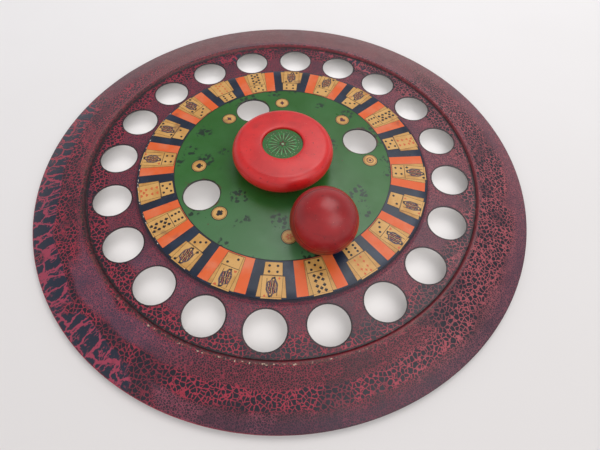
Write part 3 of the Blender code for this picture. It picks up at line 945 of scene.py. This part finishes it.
def circle_line(ink, spot, radius, width, steps=40):
    """A thin round line made of short plates."""
    for step in range(steps):
        a, b = math.tau * step / steps, math.tau * (step + 1) / steps
        outer = [on_circle(radius + width, b), on_circle(radius + width, a)]
        spot.draw(ink, [on_circle(radius, a), on_circle(radius, b)] + outer)


def rosette_reach(angle):
    return 0.72 + 0.28 * math.cos(6 * angle)


def draw_roundel(inks, number, mark):
    side = 1 if number % 2 else -1
    angle = INNER_HOLE_START + math.tau * (number // 2) / INNER_HOLES + side * ROUNDEL_SPREAD
    spot = Spot(angle, ROUNDEL_CIRCLE * MM, ROUNDEL_CENTRE)
    for name, radius in ROUNDEL_DISCS:
        spot.draw(inks[name], moved(disc(40), size=radius))
    circle_line(inks["line"], spot, 5.6, 0.3)
    if mark == "target":
        circle_line(inks["wine"], spot, 2.6, 0.7)
        spot.draw(inks["wine"], moved(disc(), size=1.3))
    elif mark == "rosette":
        spot.draw(inks["red"], moved(polar_outline(rosette_reach, 48), size=3.4))
        spot.draw(inks["detail"], moved(disc(), size=1.0))
    else:
        ink = inks["black"] if mark in BLACK_SUITS else inks["wine"]
        draw_suit(ink, spot, mark, 0.0, 0.0, 3.0)


def edge_chips(ink, chance):
    """Small pale chips where the print has broken away along its outer edge."""
    for _ in range(26):
        angle = math.radians(chance.gauss(188, 22))
        middle = Spot(angle, PRINT_RADIUS - chance.uniform(0.5, 1.1) * MM)
        size = chance.uniform(0.35, 1.0)
        wobble = [chance.uniform(0.5, 1.0) for _ in range(9)]
        points = []
        for step in range(9):
            turn = -math.tau * step / 9
            reach = size * wobble[step]
            points.append((1.5 * reach * math.cos(turn), 0.5 * reach * math.sin(turn)))
        middle.draw(ink, points)


GREEN_LINE_STEPS = 120


def make_print():
    tan = printed_ink("tan_ink", (216, 166, 94), (196, 140, 66), stain_scale=70, bare=(140, 108, 66))
    materials = {
        "halo": (printed_ink("roundel_halo", (26, 34, 20), (40, 60, 28)), 1),
        "orange": (printed_ink("orange_ink", (228, 94, 28), (226, 124, 84), stain_scale=40), 1),
        "back": (printed_ink("tan_ink_back", (208, 156, 84), (182, 124, 58)), 2),
        "card": (tan, 3),
        "line": (printed_ink("brown_line", (96, 58, 30), (72, 44, 28)), 4),
        "black": (printed_ink("black_ink", (16, 12, 18), (38, 26, 32), flakes=0.3), 4),
        "robe": (printed_ink("robe_ink", (80, 64, 78), (112, 78, 72), flakes=0.4, bare=(170, 126, 84)), 4),
        "crest": (printed_ink("crest_ink", (14, 12, 24), (30, 22, 34), flakes=0.2), 5),
        "red": (printed_ink("red_ink", (212, 100, 52), (196, 84, 44)), 4),
        "wine": (printed_ink("wine_ink", (96, 40, 52), (70, 34, 48)), 5),
        "detail": (tan, 5),
        "face": (tan, 6),
        "orange_line": (printed_ink("orange_line", (206, 96, 44), (180, 84, 44)), 5),
        "chip": (printed_ink("bare_chips", (226, 214, 196), (190, 170, 140)), 6),
    }
    inks = {name: Ink(level) for name, (_, level) in materials.items()}
    chance = random.Random(20)
    for number in range(SECTORS):
        draw_sector(inks, number, chance)
    for number, mark in enumerate(ROUNDEL_MARKS):
        draw_roundel(inks, number, mark)
    for step in range(GREEN_LINE_STEPS):
        a, b = math.tau * step / GREEN_LINE_STEPS, math.tau * (step + 1) / GREEN_LINE_STEPS
        inks["black"].polar_plate(a, b, GREEN_RADIUS - 0.3 * MM, GREEN_RADIUS + 0.45 * MM, 1)
    edge_chips(inks["chip"], chance)
    for name, (material, _) in materials.items():
        add_piece("print_" + name, inks[name].bm, material, "wheel", sharp=30)


# ---------------- knob, label and ball


def quarter(centre, radii, start, steps):
    """A quarter of an ellipse."""
    points = []
    for step in range(steps + 1):
        angle = math.radians(start + 90 * step / steps)
        points.append((centre[0] + radii[0] * math.cos(angle), centre[1] + radii[1] * math.sin(angle)))
    return points


def close_ends(bm, rows):
    """Makes a solid of turned rows, with all faces outwards."""
    bm.faces.new(rows[0])
    bm.faces.new(rows[-1])
    bmesh.ops.recalc_face_normals(bm, faces=bm.faces)


KNOB_WIDEST = 41.0 * MM
KNOB_HOLLOW = 13.0 * MM
KNOB_HOLLOW_TOP = 37.0 * MM


def make_knob(material):
    """Turned hand knob, from the hollow in its foot up its outside to the label's recess."""
    foot, widest = KNOB_FOOT, KNOB_WIDEST
    outline = [(KNOB_HOLLOW, KNOB_HOLLOW_TOP), (KNOB_HOLLOW, foot + 0.5 * MM), (13.5 * MM, foot)]
    outline += [(29.6 * MM, foot), (30.0 * MM, foot + 0.4 * MM), (30.0 * MM, foot + 2.5 * MM)]
    outline += [(30.5 * MM, 29.2 * MM), (31.8 * MM, 31.5 * MM)]
    outline += quarter((37.0 * MM, widest), (KNOB_RADIUS - 37.0 * MM, widest - 33.5 * MM), -90, 14)
    brow = (KNOB_RADIUS - 36.5 * MM, KNOB_TOP - widest - 0.45 * MM)
    outline += quarter((36.5 * MM, widest), brow, 0, 20)[1:]
    for radius, drop in ((34.0, 0.38), (31.0, 0.24), (27.5, 0.09), (24.0, 0.01)):
        outline.append((radius * MM, KNOB_TOP - drop * MM))
    for outside, drop in ((2.2, 0.0), (1.0, 0.12), (0.4, 0.6)):
        outline.append((LABEL_RADIUS + outside * MM, KNOB_TOP - drop * MM))
    outline += [(LABEL_RADIUS + 0.3 * MM, LABEL_TOP - 1.0 * MM)]
    bm = bmesh.new()
    close_ends(bm, lathe_rows(bm, outline, 160))
    add_piece("lacquered_knob", bm, material, "wheel", ["knob"], 40)


class LabelInk(Ink):
    """Ink on the flat label in the top of the knob."""

    def film(self, x, y):
        return LABEL_TOP + self.level * INK_STEP, LABEL_TOP - INK_STEP


def make_label():
    """Green disc with a plain rayed ornament and a beaded border."""
    green = printed_ink("label_green", (36, 112, 44), (50, 84, 42), 160, 0.6, (110, 140, 104))
    bm = bmesh.new()
    outline = [(LABEL_RADIUS * 0.6, LABEL_TOP), (LABEL_RADIUS - LABEL_BEVEL, LABEL_TOP)]
    outline += [(LABEL_RADIUS, LABEL_TOP - LABEL_BEVEL), (LABEL_RADIUS, LABEL_TOP - 0.7 * MM)]
    close_ends(bm, lathe_rows(bm, outline, 96))
    add_piece("label_disc", bm, green, "wheel", ["knob_label"], 30)
    dark, pale = LabelInk(1), LabelInk(2)
    for k in range(36):
        beam = Spot(math.tau * k / 36, 0.0)
        if k % 2:
            beam.draw(pale, [(-0.10, 5.2), (-0.28, 12.6), (0.28, 12.6), (0.10, 5.2)])
        else:
            beam.draw(dark, [(-0.16, 4.4), (-0.5, 10.4), (0.0, 11.4), (0.5, 10.4), (0.16, 4.4)])
        beam.draw(dark, moved(disc(10), 0.0, 15.6, 0.55))
        beam.draw(pale if k % 3 else dark, [(-0.5, 14.1), (0.2, 14.7), (0.6, 14.3), (-0.1, 13.8)][::-1])
        beam.draw(dark, moved(disc(8), 0.0, 7.2 + 1.5 * (k % 3), 0.42))
    middle = Spot(0.0, 0.0)
    middle.draw(dark, moved(polar_outline(rosette_reach, 60), size=3.9))
    middle.draw(pale, moved(disc(), size=1.3))
    circle_line(dark, middle, 13.6, 0.35, 60)
    red_brown = printed_ink("label_dark", (92, 52, 40), (60, 60, 40), flakes=0.6, bare=(60, 118, 74))
    light = printed_ink("label_light", (150, 186, 140), (100, 150, 100), flakes=0.6, bare=(60, 118, 74))
    add_piece("label_dark_print", dark.bm, red_brown, "wheel")
    add_piece("label_light_print", pale.bm, light, "wheel")


def make_ball(material):
    """Turned ball: a sphere with a shallow lathe groove on each side of its widest line."""
    steps, rows = 96, 180
    bm = bmesh.new()
    lines = []
    for row in range(1, rows):
        polar = math.pi * row / rows
        cut = 0.0
        for groove in BALL_GROOVES:
            cut += GROOVE_DEPTH * math.exp(-((polar - math.radians(groove)) / GROOVE_WIDTH) ** 2)
        radius = BALL_RADIUS - cut
        lines.append(ring(bm, radius * math.sin(polar), radius * math.cos(polar), steps))
    for above, below in zip(lines, lines[1:]):
        join_rings(bm, above, below)
    for pole, line in ((1, lines[0]), (-1, lines[-1])):
        tip = bm.verts.new((0, 0, pole * BALL_RADIUS))
        for step in range(steps):
            bm.faces.new((tip, line[step], line[(step + 1) % steps]))
    bmesh.ops.recalc_face_normals(bm, faces=bm.faces)
    turn = BALL_AXIS.to_track_quat("Z", "Y").to_matrix().to_4x4()
    bmesh.ops.transform(bm, matrix=Matrix.Translation(BALL_CENTRE) @ turn, verts=bm.verts)
    add_piece("lacquered_ball", bm, material, "ball", ["game_ball"])


# ---------------- the rest


def finish_cad_nodes():
    """Materials for the small CAD parts that keep their own shape."""
    steel = metal("plain_steel", (168, 166, 162), (120, 116, 112))
    brass = metal("worn_brass", (206, 168, 92), (150, 112, 62))
    black_steel = metal("dark_steel", (96, 96, 100), (62, 60, 62), 0.4)
    looks = {"base_pad": felt(), "base_foot": dark_wood(), "hub_plate": black_steel, "hub_bush": brass}
    looks.update({"thrust_washer": brass, "top_washer": brass})
    for name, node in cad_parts.items():
        if node.hide_render:
            continue
        node.data.materials.clear()
        node.data.materials.append(looks.get(name, steel))
        node.data.shade_smooth()
        node.data.set_sharp_from_angle(angle=math.radians(35))


FLOOR_HALF = 14.0
FLOOR_PARTS = 8
FLOOR_GAP = 0.05 * MM
THROUGH_HOLES_WIDTH = 356 * MM
THROUGH_HOLES_PLACE = (0.0, 10 * MM, 12 * MM)


def make_stage():
    bm = bmesh.new()
    bmesh.ops.create_grid(bm, x_segments=FLOOR_PARTS, y_segments=FLOOR_PARTS, size=FLOOR_HALF)
    mesh = bpy.data.meshes.new("floor")
    bm.to_mesh(mesh)
    bm.free()
    mesh.materials.append(floor_cloth())
    floor = bpy.data.objects.new("floor", mesh)
    floor.location.z = -FLOOR_GAP
    bpy.context.scene.collection.objects.link(floor)
    bpy.context.scene.world = soft_sky()
    add_area_light("overhead", (0.45, 0.85, 2.05), 1.6, 19.0)
    add_area_light("front", (1.3, -1.0, 1.8), 1.6, 12.5)
    # Light that falls through the holes and spreads over the cloth under the wheel
    bounce = add_area_light("bounce_under_wheel", THROUGH_HOLES_PLACE, THROUGH_HOLES_WIDTH, 0.10)
    bounce.data.shape = "DISK"
    bounce.rotation_euler = (0.0, 0.0, 0.0)
    bounce.visible_camera = False
    bpy.context.scene.view_settings.view_transform = "Standard"


def soft_sky():
    """Overcast light: bright behind the viewer and low down, darker high beyond the wheel."""
    g = Graph("soft_sky", bpy.data.worlds)
    parts = g.node("SeparateXYZ")
    g.put(parts.inputs[0], g.coordinates["Generated"])
    brighter = g.most(g.step(parts.outputs[1], 0.15, -0.35), g.step(parts.outputs[2], 0.45, 0.10))
    background = g.tree.nodes["Background"].inputs
    g.put(background["Color"], (0.95, 0.96, 1.0, 1.0))
    g.put(background["Strength"], g.plus(0.43, g.times(brighter, 0.32)))
    return g.owner


def add_area_light(name, place, size, power):
    data = bpy.data.lights.new(name, "AREA")
    data.size = size
    data.energy = power
    light = bpy.data.objects.new(name, data)
    light.location = place
    light.rotation_euler = (-Vector(place)).to_track_quat("-Z", "Y").to_euler()
    bpy.context.scene.collection.objects.link(light)
    return light


CAMERA_PLACE = Vector((0.0276, -0.2648, 0.3422))
CAMERA_LOOK = Vector((-0.0195, 0.5282, -0.8489))
CAMERA_ROLL = math.radians(2.09)
CAMERA_LENS = 26.5


def make_camera():
    data = bpy.data.cameras.new("camera")
    data.lens = CAMERA_LENS
    data.sensor_width = 36.0
    data.clip_start = 0.01
    camera = bpy.data.objects.new("camera", data)
    aim = CAMERA_LOOK.to_track_quat("-Z", "Y").to_matrix() @ Matrix.Rotation(CAMERA_ROLL, 3, "Z")
    camera.matrix_world = Matrix.Translation(CAMERA_PLACE) @ aim.to_4x4()
    bpy.context.scene.collection.objects.link(camera)
    bpy.context.scene.camera = camera


make_camera()
make_stage()
make_pan(crackle_paint(), metal("tinned_underside", (196, 194, 190), (150, 146, 140), 0.38))
make_printed_face(printed_enamel())
make_print()
make_knob(red_lacquer("knob_lacquer", (216, 34, 34), (194, 22, 26)))
make_label()
make_ball(red_lacquer("ball_red", (162, 9, 16), (136, 5, 11), BALL_CENTRE, BALL_AXIS, BALL_GROOVES))
finish_cad_nodes()
